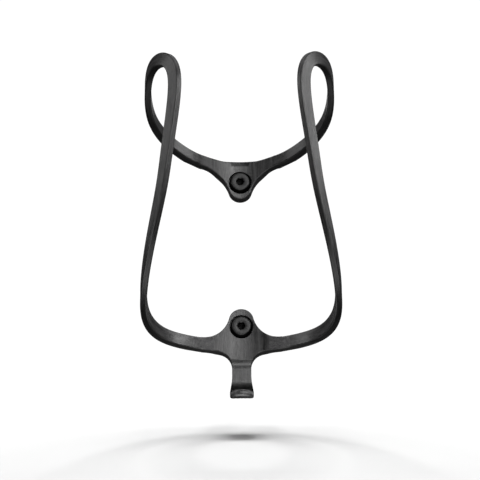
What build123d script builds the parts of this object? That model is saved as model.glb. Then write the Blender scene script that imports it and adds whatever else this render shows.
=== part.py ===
from build123d import *
from math import asin, atan2, cos, degrees, radians, sin, tan
import os

# Water bottle cage: two bolt brackets joined by a continuous carbon band on each side.
# Millimetres. The origin is midway between the two bolts on the frame tube's surface.
# +Z runs up along the bottle, +Y points into the frame, and the bottle stands in front, at -Y.

# The bottle and the frame
bolt_spacing = 64.0
seat_radius = 37.0
seat_taper = 0.0094         # radius lost per millimetre of height above the lower bolt
bottle_standoff = 1.8       # from a bracket's face to the bottle, room for the bolt heads
standoff_angle = 45.0       # the arms reach the bottle this far round from the back

# The carbon band of each side
rail_thickness = 2.7
thin_angle = 95.0           # the arms have thinned to rail_thickness this far round
rail_width = 5.3
loop_width = 5.7
upper_arm_width = 4.7
edge_radius = 0.6
stem_edge_radius = 0.3

# The brackets
plate_thickness = 5.4
plate_flat = 8.0            # half the width of the flat back that lies on the frame
plate_cut = 16.8            # half the plates' width; the arms' sections are the band's from here
plate_inset = 0.02          # the plates lie this much inside the arm roots' faces
lower_tip_radius = 5.2
lower_tip_rise = 2.5        # from the bolt up to the centre of the boss's round end
upper_tip_radius = 5.1
upper_tip_drop = 2.3
upper_top_rise = 9.7        # from the bolt up to the bracket's flat top edge
upper_top_blend = 14.0

# The stem and the foot hook under the bottle
stem_width = 8.0
stem_sweep = 6.2            # hollow radius between an arm and the stem
stem_thickness = 3.6
stem_thick_drop = 11.5      # below the lower bolt, where the plate starts to thin
stem_thin_drop = 17.5       # and where it has thinned to the stem
foot_drop = 31.5            # from the lower bolt down to the hook's underside
foot_width = 9.8
foot_flare = 9.0            # height over which the stem widens to the foot
foot_reach = 13.4           # from the frame to the front of the lip
foot_thickness = 2.2
foot_bend = 7.0             # inner radius where the stem turns forward
foot_heel = 10.9            # outer radius there
foot_corner = 2.0
lip_height = 3.2            # from the hook's underside to the lip's top
lip_land = 2.0              # width of the lip before its edges are rounded
lip_edge = 1.4
lip_bow = 6.35              # radius of the lip's bowed front, seen from above

# The bolts and their seats
bolt_diameter = 5.0
bolt_length = 16.0
neck_diameter = 4.5         # an assumed plain neck, between the head and the frame's surface
hole_clearance = 0.25       # radial, round the shank
head_base = 9.5
head_face = 7.7
head_height = 3.2
head_rim = 0.7              # height of the straight rim under the head's cone
head_clearance = 0.3        # radial, round the head in its seat
seat_depth = 1.6
socket_size = 3.0           # across flats
socket_depth = 2.3
bolt_point = 0.8            # chamfer at the shank's end

# The bonded scarf joints and the cover plies
scarf_front = 20.0          # half-distance between the scarfs' edges on the bottle side
scarf_back = 17.5           # and on the frame side
ply_thickness = 0.3
overlap_ply_start = 11.5    # an overlap ply reaches from here to the scarf
cover_ply_width = 9.4
cover_ply_height = 2.2
stub_start = 15.5           # an arm's root begins this far from the middle, inside the plate
scarf_room = 4.0            # how far past the scarf an arm's root is drawn before it is cut

lower_bolt = -bolt_spacing / 2
upper_bolt = bolt_spacing / 2
bottle_axis = -(plate_thickness + bottle_standoff + seat_radius)
foot_z = lower_bolt - foot_drop

# The band's route over the bottle, from the lower bracket to the upper one: the angle round
# from the back in degrees, and the height. A smooth cubic curve is drawn towards these points.
route = [
    (0.0, lower_bolt - 7.9),        # middle of the lower bracket
    (30.0, lower_bolt - 8.3),       # lower arm
    (59.5, lower_bolt - 8.1),
    (84.0, lower_bolt - 3.6),       # lower corner
    (98.0, lower_bolt + 3.4),
    (114.5, lower_bolt + 19.6),     # rail
    (127.5, 0.22 * upper_bolt),
    (131.0, upper_bolt - 10.3),
    (141.0, upper_bolt + 20.6),     # head of the loop
    (129.5, upper_bolt + 31.4),
    (103.0, upper_bolt + 31.1),
    (83.0, upper_bolt + 19.2),      # outer strand
    (56.7, upper_bolt + 14.2),      # upper arm
    (29.0, upper_bolt + 8.0),
    (0.0, upper_bolt + 8.0),        # middle of the upper bracket
]
last = len(route) - 1
loop_point = 9                      # the route's point at the top of the loop
upper_arm_point = 12


def ease(x):
    """Goes smoothly from 0 to 1 as x does."""
    x = min(max(x, 0.0), 1.0)
    return x * x * (3 - 2 * x)


def route_point(index):
    """The route's point, mirrored past either end, where the other side's band goes on."""
    if index < 0:
        angle, height = route[-index]
        return -angle, height
    if index > last:
        angle, height = route[2 * last - index]
        return -angle, height
    return route[index]


def route_at(u):
    """Angle in radians and height on the smooth route, for u from 0 to last."""
    i = min(int(u), last - 1)
    f = u - i
    weights = (
        (1 - f) ** 3 / 6,
        (3 * f**3 - 6 * f**2 + 4) / 6,
        (-3 * f**3 + 3 * f**2 + 3 * f + 1) / 6,
        f**3 / 6,
    )
    points = [route_point(i - 1 + k) for k in range(4)]
    angle = sum(w * p[0] for w, p in zip(weights, points))
    height = sum(w * p[1] for w, p in zip(weights, points))
    return radians(angle), height


def thickness_at(angle):
    """The band's thickness: as thick as the plates at the back, thin from thin_angle on."""
    return plate_thickness + (rail_thickness - plate_thickness) * ease(abs(degrees(angle)) / thin_angle)


def inner_radius(angle, height):
    """Distance from the bottle's axis to the band's bottle side."""
    reached = ease(abs(degrees(angle)) / standoff_angle)
    taper = seat_taper * max(height - lower_bolt, 0.0)
    return seat_radius + bottle_standoff * (1 - reached) - taper * reached


def width_at(u):
    """The band's width: rail_width, widest at the loop, and narrow on the upper arm."""
    to_loop = ease((u - (loop_point - 3)) / 3)
    to_arm = ease((u - loop_point) / (upper_arm_point - loop_point))
    return rail_width + (loop_width - rail_width) * to_loop + (upper_arm_width - loop_width) * to_arm


def centre_at(u):
    """The middle of the band's section at u, on the right-hand (+X) side."""
    angle, height = route_at(u)
    radius = inner_radius(angle, height) + thickness_at(angle) / 2
    return Vector(radius * sin(angle), bottle_axis + radius * cos(angle), height)


def section_plane(u):
    """The section's plane: x runs along the band's width, y through its thickness."""
    step = 0.01
    along = (centre_at(u + step) - centre_at(u - step)).normalized()
    angle, _ = route_at(u)
    outward = Vector(sin(angle), cos(angle), 0)
    across = outward.cross(along).normalized()
    return Plane(origin=centre_at(u), x_dir=across, z_dir=along)


def band_section(u):
    angle, _ = route_at(u)
    return section_plane(u) * RectangleRounded(width_at(u), thickness_at(angle), edge_radius)


def band(u_start, u_end, spacing):
    """A stretch of the right-hand band, lofted through sections this far apart."""
    count = 400
    steps = [u_start + (u_end - u_start) * k / count for k in range(count + 1)]
    chosen = [steps[0]]
    run = 0.0
    for here, there in zip(steps, steps[1:]):
        run += (centre_at(there) - centre_at(here)).length
        if run >= spacing and (centre_at(steps[-1]) - centre_at(there)).length > 0.6 * spacing:
            chosen.append(there)
            run = 0.0
    chosen.append(steps[-1])
    return loft([band_section(u) for u in chosen])


def u_at_x(x, upper):
    """Where the band's middle is x from the centre plane, near either bracket."""
    low, high = (last - 3.0, float(last)) if upper else (0.0, 3.0)
    for _ in range(50):
        middle = (low + high) / 2
        if (centre_at(middle).X > x) == upper:
            low = middle
        else:
            high = middle
    return middle


def seat_y(x, height):
    """How far in front of the frame the bottle side of an arm is at x."""
    angle = asin(x / seat_radius)
    for _ in range(20):
        angle = asin(x / inner_radius(angle, height))
    return bottle_axis + inner_radius(angle, height) * cos(angle)


def back_y(x, height):
    """How far in front of the frame the frame side of an arm is at x."""
    angle = asin(x / (seat_radius + plate_thickness))
    for _ in range(20):
        angle = asin(x / (inner_radius(angle, height) + thickness_at(angle)))
    return bottle_axis + (inner_radius(angle, height) + thickness_at(angle)) * cos(angle)


def scarf_plane(height):
    """The slanted bond face between a bracket and the right-hand band; its normal points out."""
    front = Vector(scarf_front, seat_y(scarf_front, height), height)
    back = Vector(scarf_back, back_y(scarf_back, height), height)
    slope = (front - back).normalized()
    normal = slope.cross(Vector(0, 0, -1))
    if normal.X < 0:
        normal = normal * -1
    return Plane(origin=front, x_dir=(0, 0, 1), z_dir=normal)


def plan_slab(low, high, height):
    """A bracket's curved plate seen from above, raised from low to high."""
    reach = plate_cut
    middle = (plate_flat + reach) / 2
    front_start = seat_y(0, height) + plate_inset
    front_end = seat_y(reach, height) + plate_inset
    back_end = back_y(reach, height) - plate_inset
    back_middle = back_y(middle, height) - plate_inset
    right = Curve() + [
        Spline((0, front_start), (reach / 2, seat_y(reach / 2, height) + plate_inset), (reach, front_end),
               tangents=[(1, 0), (1, -tan(asin(reach / inner_radius(0, height))))]),
        Line((reach, front_end), (reach, back_end)),
        Spline((reach, back_end), (middle, back_middle), (plate_flat, 0), tangents=[(-1, 0.4), (-1, 0)]),
        Line((plate_flat, 0), (0, 0)),
    ]
    face = make_face(right + mirror(right, Plane.YZ))
    return extrude(Plane.XY.offset(low) * face, high - low)


def sweep_arc(tip, tip_radius, end, slope, side):
    """A hollow arc that leaves a round tip and runs smoothly onto the end of an arm's edge.

    side is +1 where the arc lies above the edge and -1 below. Returns its start and middle."""
    normal = Vector(-sin(slope), cos(slope)) * side
    apart = end - tip
    sweep = (apart.dot(apart) - tip_radius**2) / (2 * (tip_radius - normal.dot(apart)))
    centre = end + normal * sweep
    start = tip + (centre - tip).normalized() * tip_radius
    middle = centre + ((start + end) * 0.5 - centre).normalized() * sweep
    return start, middle


def arm_edges(upper):
    """The arm's middle and slope where the plate ends, in the front view."""
    u = u_at_x(plate_cut, upper)
    here = centre_at(u)
    step = 0.02
    ahead = centre_at(u - step) if upper else centre_at(u + step)
    slope = atan2(ahead.Z - here.Z, ahead.X - here.X)
    return Vector(here.X, here.Z), slope, width_at(u) / cos(slope) / 2


def lower_outline():
    """The lower bracket from the front, down to the foot."""
    tip = Vector(0, lower_bolt + lower_tip_rise)
    middle, slope, half = arm_edges(False)
    top_point = middle + Vector(0, half)
    low_point = middle - Vector(0, half)
    start, bend = sweep_arc(tip, lower_tip_radius, top_point, slope, 1)
    stem_x = stem_width / 2
    arc = Vector(stem_x + stem_sweep, low_point.Y - stem_sweep)
    arc_end = arc + Vector(0, stem_sweep)
    arc_bend = arc + Vector(-1, 1).normalized() * stem_sweep
    arc_start = arc + Vector(-stem_sweep, 0)
    foot_x = foot_width / 2
    corner = Vector(foot_x - foot_corner, foot_z + foot_corner)
    flare_top = corner.Y + foot_flare
    corner_bend = corner + Vector(1, -1).normalized() * foot_corner
    right = Curve() + [
        ThreePointArc(start, bend, top_point),
        Line(top_point, low_point),
        Line(low_point, arc_end),
        ThreePointArc(arc_end, arc_bend, arc_start),
        Line(arc_start, (stem_x, flare_top)),
        Spline((stem_x, flare_top), (foot_x, corner.Y), tangents=[(0, -1), (0, -1)]),
        ThreePointArc((foot_x, corner.Y), corner_bend, (corner.X, foot_z)),
        Line((corner.X, foot_z), (0, foot_z)),
    ]
    tip_arc = ThreePointArc(start, tip + Vector(0, lower_tip_radius), (-start.X, start.Y))
    return make_face(right + mirror(right, Plane.YZ) + tip_arc)


def upper_outline():
    """The upper bracket from the front."""
    tip = Vector(0, upper_bolt - upper_tip_drop)
    middle, slope, half = arm_edges(True)
    top_point = middle + Vector(0, half)
    low_point = middle - Vector(0, half)
    start, bend = sweep_arc(tip, upper_tip_radius, low_point, slope, -1)
    top = upper_bolt + upper_top_rise
    knee = Vector(top_point.X - (top_point.Y - top) / sin(slope) * cos(slope), top)
    setback = upper_top_blend * sin(slope / 2) / cos(slope / 2)
    knee_start = knee - Vector(setback, 0)
    knee_end = knee + Vector(cos(slope), sin(slope)) * setback
    knee_mid = knee_start + Vector(sin(slope / 2), 1 - cos(slope / 2)) * upper_top_blend
    right = Curve() + [
        Line((0, top), knee_start),
        ThreePointArc(knee_start, knee_mid, knee_end),
        Line(knee_end, top_point),
        Line(top_point, low_point),
        ThreePointArc(low_point, bend, start),
    ]
    tip_arc = ThreePointArc(start, tip - Vector(0, upper_tip_radius), (-start.X, start.Y))
    return make_face(right + mirror(right, Plane.YZ) + tip_arc)


def quarter_bend(centre, radius):
    """The middle of the quarter circle between the stem and the shelf below and ahead of it."""
    return centre + Vector(1, -1).normalized() * radius


def foot_profile():
    """The stem and the hook from the side: distance from the frame, then height."""
    shelf_z = foot_z + foot_thickness
    inner = Vector(-stem_thickness - foot_bend, shelf_z + foot_bend)
    heel = Vector(-foot_heel, foot_z + foot_heel)
    lip_z = foot_z + lip_height
    top = lower_bolt - stem_thin_drop
    outline = Curve() + [
        Line((0, top), (-stem_thickness, top)),
        Line((-stem_thickness, top), (-stem_thickness, inner.Y)),
        ThreePointArc((-stem_thickness, inner.Y), quarter_bend(inner, foot_bend), (inner.X, shelf_z)),
        Line((inner.X, shelf_z), (lip_land - foot_reach, lip_z)),
        Line((lip_land - foot_reach, lip_z), (-foot_reach, lip_z)),
        Line((-foot_reach, lip_z), (-foot_reach, foot_z)),
        Line((-foot_reach, foot_z), (heel.X, foot_z)),
        ThreePointArc((heel.X, foot_z), quarter_bend(heel, foot_heel), (0, heel.Y)),
        Line((0, heel.Y), (0, top)),
    ]
    return make_face(outline)


def standing(face):
    """Stands a side-view face (distance from the frame, height) up in the middle plane."""
    return Plane(origin=(0, 0, 0), x_dir=(0, 1, 0), z_dir=(1, 0, 0)) * face


def foot():
    """The stem below the bracket with the hook that carries the bottle."""
    hook = extrude(standing(foot_profile()), foot_width, both=True)
    disc = Cylinder(lip_bow, lip_height)
    disc = fillet(disc.edges().filter_by(GeomType.CIRCLE), lip_edge)
    bow_y = lip_bow - foot_reach
    nose = Pos(0, bow_y, foot_z + lip_height / 2) * disc
    rear = Pos(0, bow_y + foot_drop / 2, foot_z) * Box(2 * foot_width, foot_drop, 4 * foot_drop)
    return hook & (nose + rear)


def stem_relief():
    """What is cut from the front of the plate, so that it thins down to the stem."""
    thick = (seat_y(stem_width, route[0][1]), lower_bolt - stem_thick_drop)
    thin = (-stem_thickness, lower_bolt - stem_thin_drop)
    front = -foot_reach - 1
    outline = Curve() + [
        Spline(thick, thin, tangents=[(0, -1), (0, -1)]),
        Line(thin, (thin[0], foot_z - 1)),
        Line((thin[0], foot_z - 1), (front, foot_z - 1)),
        Line((front, foot_z - 1), (front, thick[1])),
        Line((front, thick[1]), thick),
    ]
    return extrude(standing(make_face(outline)), 2 * plate_cut, both=True)


def bolt_seat(height):
    """The hole for a bolt's shank and the round seat for its head."""
    hole = Plane.XZ * Cylinder(bolt_diameter / 2 + hole_clearance, 4 * plate_thickness)
    floor = -(plate_thickness - seat_depth)
    pocket_radius = head_base / 2 + head_clearance
    pocket = Plane((0, floor - plate_thickness, 0), x_dir=(1, 0, 0), z_dir=(0, -1, 0)) * Cylinder(
        pocket_radius, 2 * plate_thickness
    )
    return Pos(0, 0, height) * (hole + pocket)


def rounded(plate, radius):
    """The plate with its long edges rounded, except where the arms go on."""
    edges = [e for e in plate.edges() if max(e.bounding_box().size.X, e.bounding_box().size.Z) > 0.05]
    return fillet([e for e in edges if abs(e.center().X) < plate_cut - 0.1], radius)


def scarf_planes():
    """The bond faces at the lower and the upper end of the right-hand rail."""
    beyond = scarf_front + scarf_room
    return [scarf_plane(centre_at(u_at_x(beyond, upper)).Z) for upper in (False, True)]


def arm_roots(upper):
    """Both arm roots of a bracket, cut off at the scarfs."""
    ends = sorted(u_at_x(x, upper) for x in (stub_start, scarf_front + scarf_room))
    root = split(band(*ends, 2.5), bisect_by=scarf_planes()[upper], keep=Keep.BOTTOM)
    return root + mirror(root, Plane.YZ)


def ply_zone(x_in, x_out, low, high):
    """The room of a cover ply on a bracket's bottle side, just past the surface."""
    height = (low + high) / 2
    stations = [x_in + (x_out - x_in) * k / 4 for k in range(5)]
    under = [(x, seat_y(x, height) + ply_thickness) for x in stations]
    over = [(x, y - 3 * ply_thickness) for x, y in under]
    outline = Curve() + [
        Spline(*under),
        Line(under[-1], over[-1]),
        Spline(*reversed(over)),
        Line(over[0], under[0]),
    ]
    return extrude(Plane.XY.offset(low) * make_face(outline), high - low)


def lower_bracket():
    outline = extrude(Plane.XZ * lower_outline(), 2 * foot_reach, both=True)
    band_z = route[0][1]
    slab = plan_slab(lower_bolt - stem_thin_drop - 1, band_z + 4 * rail_width, band_z)
    body = rounded((outline & slab) - stem_relief(), stem_edge_radius)
    body = body + (outline & foot()) + arm_roots(False)
    return body - bolt_seat(lower_bolt)


def upper_bracket():
    outline = extrude(Plane.XZ * upper_outline(), 2 * foot_reach, both=True)
    band_z = route[-1][1]
    slab = plan_slab(band_z - 5 * rail_width, band_z + 3 * rail_width, band_z)
    body = rounded(outline & slab, edge_radius) + arm_roots(True)
    return body - bolt_seat(upper_bolt)


def overlap_ply_zone():
    """Room for the right-hand overlap ply on the lower bracket."""
    band_z = route[1][1]
    return ply_zone(overlap_ply_start, scarf_front + 1, band_z - rail_width, band_z + rail_width)


def cover_ply_zone():
    """Room for the ply at the middle of the upper bracket's top edge, tapered downward."""
    half = cover_ply_width / 2
    top = upper_bolt + upper_top_rise
    taper = Polyline(
        (-half, top + 1),
        (half, top + 1),
        (half - cover_ply_height / 2, top - cover_ply_height),
        (-half + cover_ply_height / 2, top - cover_ply_height),
        close=True,
    )
    wedge = extrude(Plane.XZ * make_face(taper), 2 * foot_reach, both=True)
    return wedge & ply_zone(-half - 1, half + 1, top - cover_ply_height - 1, top + 1)


def right_rail():
    """The right-hand band, from the lower scarf round the loop to the upper scarf."""
    rail = band(u_at_x(stub_start, False), u_at_x(stub_start, True), 4.0)
    for plane in scarf_planes():
        size = 2 * scarf_front
        rail = rail - plane * Pos(0, 0, -size / 2) * Box(size, size, size)
    return rail


def bolt(height):
    """An M5 bolt with a low coned head and a hexagon socket. Its thread starts at the frame."""
    seat = -(plate_thickness - seat_depth)
    face = seat - head_height
    tip = seat + bolt_length
    shank = bolt_diameter / 2
    outline = Polyline(
        (0, face),
        (head_face / 2, face),
        (head_base / 2, seat - head_rim),
        (head_base / 2, seat),
        (neck_diameter / 2, seat),
        (neck_diameter / 2, 0),
        (shank, 0),
        (shank, tip - bolt_point),
        (shank - bolt_point, tip),
        (0, tip),
        close=True,
    )
    body = revolve(make_face(outline), Axis.Y)
    mouth = Plane(origin=(0, face, 0), x_dir=(1, 0, 0), z_dir=(0, 1, 0))
    socket = extrude(mouth * RegularPolygon(socket_size / 2, 6, major_radius=False), socket_depth)
    return Pos(0, 0, height) * (body - socket)


def write(name, shape):
    shape.label = name
    export_step(shape, f"parts/{name}.step")


os.makedirs("parts", exist_ok=True)
bracket = lower_bracket()
zone = overlap_ply_zone()
ply = bracket & zone
rail = right_rail()
upper = upper_bracket()
cover_zone = cover_ply_zone()
write("lower_bracket", bracket - zone - mirror(zone, Plane.YZ))
write("lower_right_overlap_ply", ply)
write("lower_left_overlap_ply", mirror(ply, Plane.YZ))
write("upper_bracket", upper - cover_zone)
write("upper_cover_ply", upper & cover_zone)
write("right_rail", rail)
write("left_rail", mirror(rail, Plane.YZ))
write("lower_bolt", bolt(lower_bolt))
write("upper_bolt", bolt(upper_bolt))
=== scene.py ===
from math import asin, ceil, cos, degrees, pi, radians, sin

import bpy
from mathutils import Matrix, Vector


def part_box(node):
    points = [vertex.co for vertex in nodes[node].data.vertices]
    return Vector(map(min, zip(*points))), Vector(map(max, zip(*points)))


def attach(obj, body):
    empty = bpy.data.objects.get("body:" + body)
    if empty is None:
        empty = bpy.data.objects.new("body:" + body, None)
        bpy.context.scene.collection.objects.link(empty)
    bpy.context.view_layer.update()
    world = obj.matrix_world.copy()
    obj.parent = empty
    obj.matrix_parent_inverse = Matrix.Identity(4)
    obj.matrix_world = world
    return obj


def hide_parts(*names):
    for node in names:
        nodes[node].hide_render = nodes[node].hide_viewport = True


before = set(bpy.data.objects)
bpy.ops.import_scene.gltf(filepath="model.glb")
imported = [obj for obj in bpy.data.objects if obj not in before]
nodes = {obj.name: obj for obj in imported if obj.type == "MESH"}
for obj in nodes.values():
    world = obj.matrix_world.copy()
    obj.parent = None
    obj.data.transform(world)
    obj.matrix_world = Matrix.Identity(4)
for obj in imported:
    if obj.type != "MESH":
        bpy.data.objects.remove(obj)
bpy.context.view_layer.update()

MM = 0.001
CAGE, LOWER, UPPER = "cage", "lower_bolt_body", "upper_bolt_body"


# ---------------------------------------------------------------- the band's route, as in the CAD
bolt_spacing = 64.0
seat_radius = 37.0
seat_taper = 0.0094
bottle_standoff = 1.8
standoff_angle = 45.0
rail_thickness = 2.7
thin_angle = 95.0
rail_width = 5.3
loop_width = 5.7
upper_arm_width = 4.7
edge_radius = 0.6
plate_thickness = 5.4
seat_depth = 1.6
scarf_front = 20.0
scarf_back = 17.5
lower_bolt = -bolt_spacing / 2
upper_bolt = bolt_spacing / 2
bottle_axis = -(plate_thickness + bottle_standoff + seat_radius)
route = [
    (0.0, lower_bolt - 7.9),
    (30.0, lower_bolt - 8.3),
    (59.5, lower_bolt - 8.1),
    (84.0, lower_bolt - 3.6),
    (98.0, lower_bolt + 3.4),
    (114.5, lower_bolt + 19.6),
    (127.5, 0.22 * upper_bolt),
    (131.0, upper_bolt - 10.3),
    (141.0, upper_bolt + 20.6),
    (129.5, upper_bolt + 31.4),
    (103.0, upper_bolt + 31.1),
    (83.0, upper_bolt + 19.2),
    (56.7, upper_bolt + 14.2),
    (29.0, upper_bolt + 8.0),
    (0.0, upper_bolt + 8.0),
]
last = len(route) - 1
loop_point = 9
upper_arm_point = 12


def ease(x):
    x = min(max(x, 0.0), 1.0)
    return x * x * (3 - 2 * x)


def route_point(index):
    if index < 0:
        angle, height = route[-index]
        return -angle, height
    if index > last:
        angle, height = route[2 * last - index]
        return -angle, height
    return route[index]


def route_at(u):
    i = min(int(u), last - 1)
    f = u - i
    weights = (
        (1 - f) ** 3 / 6,
        (3 * f**3 - 6 * f**2 + 4) / 6,
        (-3 * f**3 + 3 * f**2 + 3 * f + 1) / 6,
        f**3 / 6,
    )
    points = [route_point(i - 1 + k) for k in range(4)]
    angle = sum(w * p[0] for w, p in zip(weights, points))
    height = sum(w * p[1] for w, p in zip(weights, points))
    return radians(angle), height


def thickness_at(angle):
    return plate_thickness + (rail_thickness - plate_thickness) * ease(abs(degrees(angle)) / thin_angle)


def inner_radius(angle, height):
    reached = ease(abs(degrees(angle)) / standoff_angle)
    taper = seat_taper * max(height - lower_bolt, 0.0)
    return seat_radius + bottle_standoff * (1 - reached) - taper * reached


def width_at(u):
    to_loop = ease((u - (loop_point - 3)) / 3)
    to_arm = ease((u - loop_point) / (upper_arm_point - loop_point))
    return rail_width + (loop_width - rail_width) * to_loop + (upper_arm_width - loop_width) * to_arm


def centre_at(u):
    angle, height = route_at(u)
    radius = inner_radius(angle, height) + thickness_at(angle) / 2
    return Vector((radius * sin(angle), bottle_axis + radius * cos(angle), height))


def section_axes(u):
    """The band's middle, the direction across its width and the one through its thickness."""
    step = 0.01
    along = (centre_at(u + step) - centre_at(u - step)).normalized()
    angle, _ = route_at(u)
    outward = Vector((sin(angle), cos(angle), 0))
    across = outward.cross(along).normalized()
    return centre_at(u), across, along.cross(across).normalized()


def u_at_x(x, upper):
    low, high = (last - 3.0, float(last)) if upper else (0.0, 3.0)
    for _ in range(50):
        middle = (low + high) / 2
        if (centre_at(middle).x > x) == upper:
            low = middle
        else:
            high = middle
    return middle


def side_y(x, height, outer):
    """How far in front of the frame an arm's bottle side (or frame side) is at x."""
    angle = asin(x / (seat_radius + (plate_thickness if outer else 0)))
    for _ in range(20):
        radius = inner_radius(angle, height) + (thickness_at(angle) if outer else 0)
        angle = asin(x / radius)
    return bottle_axis + radius * cos(angle)


def scarf_plane(height):
    """A point and an outward normal of the bond face at a rail's end."""
    front = Vector((scarf_front, side_y(scarf_front, height, False), height))
    back = Vector((scarf_back, side_y(scarf_back, height, True), height))
    normal = (front - back).cross(Vector((0, 0, -1))).normalized()
    return front, normal if normal.x > 0 else -normal


# ---------------------------------------------------------------- meshes
CORNER_STEPS = 5
FLAT_STEPS = 4
RAIL_STEPS = 260        # sections along a rail
BAND_UV = "along_the_band"


def ring(width, thickness):
    """A rounded rectangle: each point's place, its normal and its distance round the outline."""
    r = edge_radius
    points = []
    half_w, half_t = width / 2 - r, thickness / 2 - r
    corners = [(half_w, half_t, 0), (-half_w, half_t, 90), (-half_w, -half_t, 180), (half_w, -half_t, 270)]
    for k, (cx, cy, start) in enumerate(corners):
        for s in range(CORNER_STEPS + 1):
            a = radians(start + 90 * s / CORNER_STEPS)
            points.append((cx + r * cos(a), cy + r * sin(a), cos(a), sin(a)))
        nx, ny, _ = corners[(k + 1) % 4]
        a = radians(start + 90)
        for s in range(1, FLAT_STEPS):
            t = s / FLAT_STEPS
            points.append(
                (cx + (nx - cx) * t + r * cos(a), cy + (ny - cy) * t + r * sin(a), cos(a), sin(a))
            )
    run, way = 0.0, []
    for here, there in zip(points, points[1:] + points[:1]):
        way.append(run)
        run += ((here[0] - there[0]) ** 2 + (here[1] - there[1]) ** 2) ** 0.5
    return points, way + [run]


def point_on(u, index):
    centre, across, through = section_axes(u)
    angle, _ = route_at(u)
    points, _ = ring(width_at(u), thickness_at(angle))
    x, y, nx, ny = points[index]
    return centre + across * x + through * y, across * nx + through * ny


def end_u(index, upper):
    """Where the band's line through one point of its section meets the scarf."""
    beyond = scarf_front + 4
    front, normal = scarf_plane(centre_at(u_at_x(beyond, upper)).z)
    inside, outside = u_at_x(scarf_back - 6, upper), u_at_x(beyond + 4, upper)
    for _ in range(30):
        middle = (inside + outside) / 2
        if (point_on(middle, index)[0] - front).dot(normal) > 0:
            outside = middle
        else:
            inside = middle
    return outside


def rail_mesh(name, mirrored):
    count = len(ring(rail_width, rail_thickness)[0])
    starts = [end_u(k, False) for k in range(count)]
    ends = [end_u(k, True) for k in range(count)]
    first, final = max(starts) + 0.02, min(ends) - 0.02
    us = [first + (final - first) * k / RAIL_STEPS for k in range(RAIL_STEPS + 1)]
    run, lengths = 0.0, [0.0]
    for a, b in zip(us, us[1:]):
        run += (centre_at(b) - centre_at(a)).length
        lengths.append(run)
    verts, normals, uvs = [], [], []

    def add(u, k, length, way):
        place, normal = point_on(u, k)
        verts.append(place)
        normals.append(normal)
        uvs.append((length * MM, way * MM))

    way = ring(rail_width, rail_thickness)[1]
    speed = lengths[1] / (us[1] - us[0])
    for k in range(count):
        add(starts[k], k, (starts[k] - first) * speed, way[k])
    for u, length in zip(us, lengths):
        centre, across, through = section_axes(u)
        points, _ = ring(width_at(u), thickness_at(route_at(u)[0]))
        for k, (x, y, nx, ny) in enumerate(points):
            verts.append(centre + across * x + through * y)
            normals.append(across * nx + through * ny)
            uvs.append((length * MM, way[k] * MM))
    speed = (lengths[-1] - lengths[-2]) / (us[-1] - us[-2])
    for k in range(count):
        add(ends[k], k, run + (ends[k] - final) * speed, way[k])
    rows = len(verts) // count
    faces = []
    for row in range(rows - 1):
        for k in range(count):
            n = (k + 1) % count
            faces.append((row * count + k, row * count + n, (row + 1) * count + n, (row + 1) * count + k))
    faces.append(tuple(range(count - 1, -1, -1)))
    faces.append(tuple((rows - 1) * count + k for k in range(count)))
    flip = -1 if mirrored else 1
    mesh = bpy.data.meshes.new(name)
    mesh.from_pydata([(v.x * flip * MM, v.y * MM, v.z * MM) for v in verts], [],
                     [tuple(reversed(f)) if mirrored else f for f in faces])
    layer = mesh.uv_layers.new(name=BAND_UV)
    for polygon in mesh.polygons:
        polygon.use_smooth = len(polygon.vertices) == 4
        wraps = {v % count for v in polygon.vertices} == {0, count - 1}
        for loop in polygon.loop_indices:
            v = mesh.loops[loop].vertex_index
            along, round_way = uvs[v]
            if wraps and v % count == 0:
                round_way = way[-1] * MM
            layer.data[loop].uv = (along, round_way)
    mesh.normals_split_custom_set_from_vertices([(n.x * flip, n.y, n.z) for n in normals])
    return mesh


def new_piece(name, mesh, *materials):
    piece = bpy.data.objects.new(name, mesh)
    bpy.context.scene.collection.objects.link(piece)
    for material in materials:
        mesh.materials.append(material)
    return piece


AROUND = 96
SHADED_ROWS = 4         # the socket's rows of faces, which come first and take the painted-shade material
PITCH = 0.8             # of the thread
THREAD_STEPS = 10       # rows of points in one turn of the thread


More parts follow.
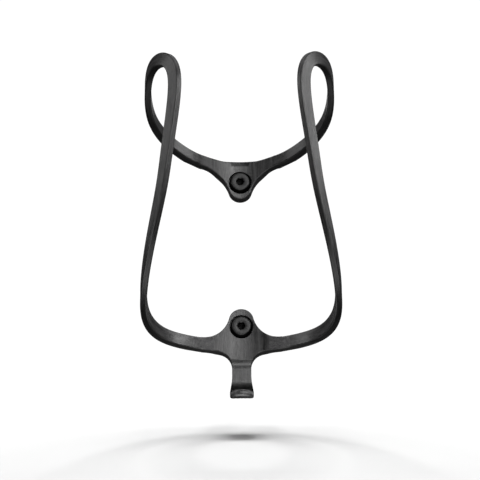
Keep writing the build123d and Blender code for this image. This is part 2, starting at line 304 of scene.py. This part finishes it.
def bolt_mesh(name, face_y, seat_y, neck_end, tip_y):
    """A black M5 bolt on its own Y axis: coned head, chamfered hexagon socket, cut thread."""
    hexagon, mouth, socket_depth = 1.5, 1.78, 2.3
    face_r, base_r, rim = 3.85, 4.75, 0.7
    thread_r, root_r, neck_r, chamfer = 2.5, 2.1, 2.25, 0.8

    def hex_r(a):
        return hexagon / cos((a + pi / 6) % (pi / 3) - pi / 6)

    def circle(r):
        return lambda a: r

    socket = face_y + socket_depth
    rows = [
        (socket + 0.45, circle(0.02)),
        (socket, lambda a: hex_r(a) * 0.86),
        (socket - 0.05, lambda a: hex_r(a) * 0.97),
        (socket - 0.2, hex_r),
        (face_y + 0.22, hex_r),
        (face_y + 0.02, circle(mouth)),
        (face_y, circle(mouth + 0.06)),
        (face_y, circle(face_r - 0.34)),
        (face_y + 0.04, circle(face_r - 0.17)),
        (face_y + 0.13, circle(face_r - 0.05)),
        (face_y + 0.26, circle(face_r + 0.04)),
        (seat_y - rim - 0.12, circle(base_r - 0.05)),
        (seat_y - rim, circle(base_r)),
        (seat_y - 0.12, circle(base_r)),
        (seat_y, circle(base_r - 0.12)),
        (seat_y, circle(neck_r + 0.25)),
        (seat_y + 0.08, circle(neck_r + 0.08)),
        (seat_y + 0.25, circle(neck_r)),
        (neck_end, circle(neck_r)),
    ]
    thread_rows = ceil((tip_y - neck_end) / PITCH * THREAD_STEPS)
    for k in range(1, thread_rows + 1):
        y = neck_end + (tip_y - neck_end) * k / thread_rows

        def profile(a, y=y):
            phase = (y / PITCH - a / (2 * pi)) % 1.0
            ridge = min(max(abs(phase - 0.5) * 2.6 - 0.15, 0.0), 1.0)
            lead = min((y - neck_end) / PITCH, 1.0)
            crest = thread_r - max(0.0, y - (tip_y - chamfer))
            return min(root_r + (thread_r - root_r) * ridge * lead, crest)

        rows.append((y, profile))
    rows.append((tip_y, circle(0.02)))
    verts = []
    for y, radius in rows:
        for k in range(AROUND):
            a = 2 * pi * k / AROUND
            r = radius(a)
            verts.append((r * sin(a) * MM, y * MM, r * cos(a) * MM))
    faces = []
    for row in range(len(rows) - 1):
        for k in range(AROUND):
            n = (k + 1) % AROUND
            faces.append((row * AROUND + k, (row + 1) * AROUND + k, (row + 1) * AROUND + n, row * AROUND + n))
    faces.append(tuple(range(AROUND)))
    faces.append(tuple((len(rows) - 1) * AROUND + k for k in reversed(range(AROUND))))
    mesh = bpy.data.meshes.new(name)
    mesh.from_pydata(verts, [], faces)
    for polygon in mesh.polygons:
        # the socket and the head's side take the darker second material, a shaded copy of the black oxide
        # that paints shade into them
        polygon.use_smooth = True
        reach = (polygon.center.x**2 + polygon.center.z**2) ** 0.5 / MM
        polygon.material_index = int(polygon.index < SHADED_ROWS * AROUND or reach > face_r + 0.02)
    mesh.set_sharp_from_angle(angle=radians(32))
    return mesh


# ---------------------------------------------------------------- materials
def add_node(tree, kind, **values):
    node = tree.nodes.new(kind)
    for key, value in values.items():
        setattr(node, key, value)
    return node


def math_node(tree, operation, a, b=None, c=None, clamp=False):
    node = add_node(tree, "ShaderNodeMath", operation=operation, use_clamp=clamp)
    for socket, value in zip(node.inputs, (a, b, c)):
        if isinstance(value, (int, float)):
            socket.default_value = value
        elif value is not None:
            tree.links.new(value, socket)
    return node.outputs[0]


def noise(tree, vector, scale, detail=3.0, roughness=0.55, seed=0.0):
    """Noise stretched by a scale per axis, in counts per metre."""
    mapping = add_node(tree, "ShaderNodeMapping")
    mapping.inputs["Scale"].default_value = scale
    mapping.inputs["Location"].default_value = (seed, seed * 1.7, seed * 0.6)
    tree.links.new(vector, mapping.inputs["Vector"])
    texture = add_node(tree, "ShaderNodeTexNoise")
    texture.inputs["Scale"].default_value = 1.0
    texture.inputs["Detail"].default_value = detail
    texture.inputs["Roughness"].default_value = roughness
    tree.links.new(mapping.outputs[0], texture.inputs["Vector"])
    return texture.outputs["Fac"]


def blend_values(tree, factor, a, b):
    node = add_node(tree, "ShaderNodeMix", data_type="FLOAT")
    for socket, value in zip((node.inputs[0], node.inputs[2], node.inputs[3]), (factor, a, b)):
        if isinstance(value, (int, float)):
            socket.default_value = value
        else:
            tree.links.new(value, socket)
    return node.outputs[0]


def fibres(tree, vector, axis, seed):
    """Fine fibre and broader tow streaks that run along one axis of the vector."""
    fine = [2600.0, 2600.0, 2600.0]
    fine[axis] = 130.0
    tow = [620.0, 620.0, 620.0]
    tow[axis] = 45.0
    return noise(tree, vector, fine, 2.0, 0.6, seed), noise(tree, vector, tow, 3.0, 0.6, seed + 3)


def direction(tree, x, z):
    """A direction in the front view, along which the fibres lie."""
    node = add_node(tree, "ShaderNodeCombineXYZ")
    for socket, value in ((node.inputs["X"], x), (node.inputs["Z"], z)):
        if isinstance(value, (int, float)):
            socket.default_value = value
        else:
            tree.links.new(value, socket)
    return node.outputs[0]


PLY_EDGE = 6 * MM                   # how ragged a bracket's middle ply ends

HOOK_SHADE_TOP = -55.3 * MM         # where the painted shade in the hook starts, and where it ends
HOOK_SHADE_BOTTOM = -61.5 * MM
HOOK_SHADE_FRONT = -11.8 * MM       # just behind the lip
HOOK_SHADE_BACK = -3.0 * MM
HOOK_SHADE_RISE = 420.0             # how fast it darkens, per metre


def hook_painted_shade(tree, place):
    """Painted shade: close to 1 in the hook's inner bend, where hardly any light gets in, and 0 elsewhere."""
    split = add_node(tree, "ShaderNodeSeparateXYZ")
    tree.links.new(place, split.inputs[0])
    y, z = split.outputs["Y"], split.outputs["Z"]
    below = math_node(tree, "SUBTRACT", HOOK_SHADE_TOP, z)
    deep = math_node(tree, "MULTIPLY", below, HOOK_SHADE_RISE, clamp=True)
    for operation, value, limit in (
        ("GREATER_THAN", y, HOOK_SHADE_FRONT),
        ("LESS_THAN", y, HOOK_SHADE_BACK),
        ("GREATER_THAN", z, HOOK_SHADE_BOTTOM),
    ):
        deep = math_node(tree, "MULTIPLY", deep, math_node(tree, operation, value, limit))
    return math_node(tree, "MULTIPLY", deep, 0.95)


def bracket_fibres(tree, place, rise, reach, seed):
    """Fibres that stand upright in the middle of a bracket and turn along its arms."""
    split = add_node(tree, "ShaderNodeSeparateXYZ")
    tree.links.new(place, split.inputs[0])
    from_middle = math_node(tree, "ABSOLUTE", split.outputs["X"])
    fine_up, tow_up = fibres(tree, place, 2, seed)
    climb = math_node(tree, "MULTIPLY", from_middle, rise)
    sheared = add_node(tree, "ShaderNodeCombineXYZ")
    tree.links.new(split.outputs["X"], sheared.inputs["X"])
    tree.links.new(split.outputs["Y"], sheared.inputs["Y"])
    tree.links.new(math_node(tree, "SUBTRACT", split.outputs["Z"], climb), sheared.inputs["Z"])
    fine_side, tow_side = fibres(tree, sheared.outputs[0], 0, seed + 8)
    ragged = noise(tree, place, (260.0, 260.0, 520.0), 3.0, 0.6, seed + 5)
    edge = math_node(tree, "MULTIPLY_ADD", ragged, PLY_EDGE, reach - PLY_EDGE / 2)
    over = math_node(tree, "SUBTRACT", from_middle, edge)
    side = math_node(tree, "MULTIPLY", over, 220.0, clamp=True)
    slope = math_node(tree, "MULTIPLY", math_node(tree, "SIGN", split.outputs["X"]), rise)
    turn = add_node(tree, "ShaderNodeMix", data_type="VECTOR")
    tree.links.new(side, turn.inputs[0])
    tree.links.new(direction(tree, 0.0, 1.0), turn.inputs[4])
    tree.links.new(direction(tree, 1.0, slope), turn.inputs[5])
    fine = blend_values(tree, side, fine_up, fine_side)
    tow = blend_values(tree, side, tow_up, tow_side)
    return fine, tow, turn.outputs[1]


def laid_fibres(tree, coords, layout, seed):
    """The fine and the broad streaks of a layout, and the direction that the fibres run in."""
    place = coords.outputs["Object"]
    if layout == "band":
        tangent = add_node(tree, "ShaderNodeTangent", direction_type="UV_MAP", uv_map=BAND_UV)
        return (*fibres(tree, coords.outputs["UV"], 0, seed), tangent.outputs[0])
    if layout == "across":
        return (*fibres(tree, place, 0, seed), direction(tree, 1.0, 0.0))
    return bracket_fibres(tree, place, *layout, seed)


def mix_colour(tree, factor, a, b):
    node = add_node(tree, "ShaderNodeMix", data_type="RGBA")
    tree.links.new(factor, node.inputs[0])
    for socket, value in ((node.inputs[6], a), (node.inputs[7], b)):
        if isinstance(value, tuple):
            socket.default_value = (*value, 1)
        else:
            tree.links.new(value, socket)
    return node.outputs[2]


def map_range(tree, value, **limits):
    """Maps a value, with limits such as from_min, which start as 0 to 1 on both sides."""
    node = add_node(tree, "ShaderNodeMapRange")
    for key, limit in limits.items():
        node.inputs[key.replace("_", " ").title()].default_value = limit
    tree.links.new(value, node.inputs["Value"])
    return node.outputs[0]


def bumped(tree, shader, height, strength, distance):
    bump = add_node(tree, "ShaderNodeBump")
    bump.inputs["Strength"].default_value = strength
    bump.inputs["Distance"].default_value = distance
    tree.links.new(height, bump.inputs["Height"])
    tree.links.new(bump.outputs[0], shader.inputs["Normal"])


def carbon(name, layout, dark, light, seed, roughness=(0.3, 0.5), ior=1.62, paint_hook_shade=False):
    """Satin unidirectional carbon.

    layout is band, across, or a bracket's pair: how steeply the fibres climb along its arms,
    and how far from the middle they start to. The hook-shade flag paints shade into the colour: it darkens
    the foot hook's inner bend towards black.
    """
    material = bpy.data.materials.new(name)
    material.use_nodes = True
    tree = material.node_tree
    shader = tree.nodes["Principled BSDF"]
    coords = add_node(tree, "ShaderNodeTexCoord")
    place = coords.outputs["Object"]
    fine, tow, fibre_way = laid_fibres(tree, coords, layout, seed)
    blotch = noise(tree, place, (95.0, 95.0, 95.0), 4.0, 0.6, seed + 11)
    speck = noise(tree, place, (1500.0, 1500.0, 1500.0), 2.0, 0.7, seed + 17)
    total = math_node(tree, "MULTIPLY", fine, 0.36)
    for pattern, share in ((tow, 0.34), (blotch, 0.2), (speck, 0.1)):
        total = math_node(tree, "MULTIPLY_ADD", pattern, share, total)
    colour = mix_colour(tree, map_range(tree, total, from_min=0.4, from_max=0.62), dark, light)
    # painted shade: the colour in the hook's inner bend is mixed towards black
    if paint_hook_shade:
        colour = mix_colour(tree, hook_painted_shade(tree, place), colour, (0.0, 0.0, 0.0))
    tree.links.new(colour, shader.inputs["Base Color"])
    rough = map_range(tree, blend_values(tree, 0.5, tow, speck), from_min=0.35, from_max=0.65,
                      to_min=roughness[0], to_max=roughness[1])
    tree.links.new(rough, shader.inputs["Roughness"])
    shader.inputs["IOR"].default_value = ior
    shader.inputs["Anisotropic"].default_value = 0.5
    shader.inputs["Anisotropic Rotation"].default_value = 0.25
    tree.links.new(fibre_way, shader.inputs["Tangent"])
    height = math_node(tree, "MULTIPLY_ADD", tow, 0.9, math_node(tree, "MULTIPLY", fine, 0.6))
    bumped(tree, shader, height, 0.8, 0.06 * MM)
    return material


def black_oxide(name, seed, dark, light, ior):
    """Black steel with faint turning rings round the bolt's own Y axis."""
    material = bpy.data.materials.new(name)
    material.use_nodes = True
    tree = material.node_tree
    shader = tree.nodes["Principled BSDF"]
    coords = add_node(tree, "ShaderNodeTexCoord")
    split = add_node(tree, "ShaderNodeSeparateXYZ")
    tree.links.new(coords.outputs["Object"], split.inputs[0])
    flat = add_node(tree, "ShaderNodeCombineXYZ")
    tree.links.new(split.outputs["X"], flat.inputs["X"])
    tree.links.new(split.outputs["Z"], flat.inputs["Z"])
    length = add_node(tree, "ShaderNodeVectorMath", operation="LENGTH")
    tree.links.new(flat.outputs[0], length.inputs[0])
    rings_at = add_node(tree, "ShaderNodeCombineXYZ")
    tree.links.new(length.outputs["Value"], rings_at.inputs["X"])
    tree.links.new(split.outputs["Y"], rings_at.inputs["Y"])
    rings = noise(tree, rings_at.outputs[0], (5200.0, 2200.0, 1.0), 2.0, 0.5, seed)
    blotch = noise(tree, coords.outputs["Object"], (420.0, 420.0, 420.0), 4.0, 0.6, seed + 4)
    colour = mix_colour(tree, blotch, (dark, dark, dark), (light, light, light))
    tree.links.new(colour, shader.inputs["Base Color"])
    rough = map_range(tree, blotch, to_min=0.3, to_max=0.5)
    tree.links.new(rough, shader.inputs["Roughness"])
    shader.inputs["IOR"].default_value = ior
    bumped(tree, shader, rings, 0.35, 0.04 * MM)
    return material


DARK, LIGHT = (0.002, 0.002, 0.002), (0.065, 0.064, 0.065)
band_carbon = carbon("carbon_along_band", "band", DARK, LIGHT, 0.0)
# this bracket's colour carries painted shade in the foot hook's inner bend
lower_carbon = carbon("carbon_lower_bracket", (-0.02, 9.5 * MM), DARK, LIGHT, 21.0, paint_hook_shade=True)
upper_carbon = carbon("carbon_upper_bracket", (0.33, 13.5 * MM), DARK, LIGHT, 43.0)
overlap_carbon = carbon("carbon_overlap_ply", "across", (0.03, 0.03, 0.032), (0.13, 0.128, 0.128), 65.0)
cover_carbon = carbon("carbon_cover_ply", "across", (0.002, 0.002, 0.002), (0.03, 0.03, 0.031), 87.0,
                      ior=1.35)
bolt_black = black_oxide("black_oxide_steel", 5.0, 0.006, 0.02, 1.45)
# a darker copy of the black oxide that reflects less: painted shade in the socket and on the head's side
bolt_painted_shade = black_oxide("black_oxide_painted_shade", 9.0, 0.001, 0.003, 1.15)


def dress(node, material):
    slots = nodes[node].data.materials
    slots.clear()
    slots.append(material)


dress("lower_bracket", lower_carbon)
dress("upper_bracket", upper_carbon)
dress("lower_left_overlap_ply", overlap_carbon)
dress("lower_right_overlap_ply", overlap_carbon)
dress("upper_cover_ply", cover_carbon)

for side, mirrored in (("right", False), ("left", True)):
    node = side + "_rail"
    name = node + "_laminate"
    rail = new_piece(name, rail_mesh(name, mirrored), band_carbon)
    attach(rail, CAGE)
    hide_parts(node)

for node, body in (("lower_bolt", LOWER), ("upper_bolt", UPPER)):
    low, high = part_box(node)
    name = node + "_threaded"
    mesh = bolt_mesh(name, low.y / MM, seat_depth - plate_thickness, 0.0, high.y / MM)
    bolt = new_piece(name, mesh, bolt_black, bolt_painted_shade)
    bolt.location = ((low.x + high.x) / 2, 0, (low.z + high.z) / 2)
    bpy.context.view_layer.update()
    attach(bolt, body)
    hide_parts(node)

# ---------------------------------------------------------------- camera, floor and light
TILT = radians(18.52)
ROLL = radians(0.49)
DISTANCE = 678.8 * MM
AIM = (-0.246 * MM, 7.489 * MM)     # sideways and up from the middle between the bolts
sight = Vector((0, cos(TILT), sin(TILT)))
lift = Vector((0, -sin(TILT), cos(TILT)))
right = Vector((1, 0, 0)) * cos(ROLL) - lift * sin(ROLL)
top = Vector((1, 0, 0)) * sin(ROLL) + lift * cos(ROLL)
camera = bpy.data.objects.new("camera", bpy.data.cameras.new("camera"))
camera.data.sensor_width = 36.0
camera.data.lens = 119.46
camera.data.clip_start = 0.01
camera.location = Vector((AIM[0], 0, 0)) + lift * AIM[1] - sight * DISTANCE
camera.rotation_mode = "QUATERNION"
camera.rotation_quaternion = Matrix((right, top, -sight)).transposed().to_quaternion()
bpy.context.scene.collection.objects.link(camera)
bpy.context.scene.camera = camera

FLOOR_GAP = 18.5 * MM               # under the foot
FLOOR_SLOPE = TILT + radians(5.5)   # steeper than the line of sight, so that its top is seen
FLOOR_BACK, FLOOR_FRONT, FLOOR_HALF = 0.09, -0.2, 0.16
foot_low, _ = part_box("lower_bracket")
floor_mesh = bpy.data.meshes.new("floor")
along = Vector((0, cos(FLOOR_SLOPE), sin(FLOOR_SLOPE)))
corners = [
    Vector((side * FLOOR_HALF, 0, 0)) + along * reach
    for side, reach in ((-1, FLOOR_FRONT), (1, FLOOR_FRONT), (1, FLOOR_BACK), (-1, FLOOR_BACK))
]
floor_mesh.from_pydata(corners, [], [(0, 1, 2, 3)])
floor = bpy.data.objects.new("floor", floor_mesh)
floor.location = (0, foot_low.y, foot_low.z - FLOOR_GAP)
bpy.context.scene.collection.objects.link(floor)
white = bpy.data.materials.new("floor_white")
white.use_nodes = True
floor_shader = white.node_tree.nodes["Principled BSDF"]
floor_shader.inputs["Base Color"].default_value = (0.28, 0.28, 0.28, 1)
floor_shader.inputs["Roughness"].default_value = 0.9
floor_mesh.materials.append(white)
floor.visible_glossy = False
floor.visible_diffuse = False
floor.visible_shadow = False

world = bpy.data.worlds.new("studio")
bpy.context.scene.world = world
world.use_nodes = True
tree = world.node_tree
backdrop = tree.nodes["Background"]
backdrop.inputs["Color"].default_value = (1, 1, 1, 1)
backdrop.inputs["Strength"].default_value = 1.05
dim = add_node(tree, "ShaderNodeBackground")
dim.inputs["Color"].default_value = (1, 1, 1, 1)
dim.inputs["Strength"].default_value = 0.035
rays = add_node(tree, "ShaderNodeLightPath")
choose = add_node(tree, "ShaderNodeMixShader")
tree.links.new(rays.outputs["Is Camera Ray"], choose.inputs[0])
tree.links.new(dim.outputs[0], choose.inputs[1])
tree.links.new(backdrop.outputs[0], choose.inputs[2])
tree.links.new(choose.outputs[0], tree.nodes["World Output"].inputs["Surface"])


def softbox(name, direction, distance, width, height, radiance, mirrored=True, scattered=True):
    """An area light that faces the object from a direction, as bright as radiance."""
    data = bpy.data.lights.new(name, "AREA")
    data.shape = "RECTANGLE"
    data.size, data.size_y = width, height
    data.energy = radiance * pi * width * height
    lamp = bpy.data.objects.new(name, data)
    way = Vector(direction).normalized()
    lamp.location = Vector((0, -0.03, 0)) + way * distance
    lamp.rotation_mode = "QUATERNION"
    lamp.rotation_quaternion = way.to_track_quat("Z", "Y")
    lamp.visible_camera = False
    lamp.visible_glossy = mirrored
    lamp.visible_diffuse = scattered
    bpy.context.scene.collection.objects.link(lamp)


softbox("key", (0.2, -0.92, 0.33), 1.2, 0.5, 0.6, 6.0)
softbox("front_box", (0, -1.0, 0.0), 1.2, 0.6, 1.2, 0.25)
softbox("low_front_box", (0, -0.75, -0.66), 1.0, 0.6, 0.9, 2.0, scattered=False)
softbox("lip_bounce", (0, 0.0, -1.0), 0.08, 0.03, 0.03, 3.0)
softbox("right_front_box", (0.6, -0.74, 0.3), 1.1, 0.25, 0.6, 5.0, scattered=False)
softbox("right_side_box", (0.97, -0.02, 0.3), 1.1, 0.3, 0.7, 6.0)
softbox("left_side_box", (-0.97, -0.02, 0.3), 1.1, 0.3, 0.7, 2.6)
softbox("back_box", (0, 0.9, 0.43), 1.3, 0.8, 0.3, 1.2, scattered=False)
softbox("top_box", (0, 0.0, 1.0), 1.0, 0.8, 0.25, 75.0, mirrored=False)

scene = bpy.context.scene
scene.view_settings.view_transform = "Standard"
scene.view_settings.look = "None"
scene.cycles.max_bounces = 8
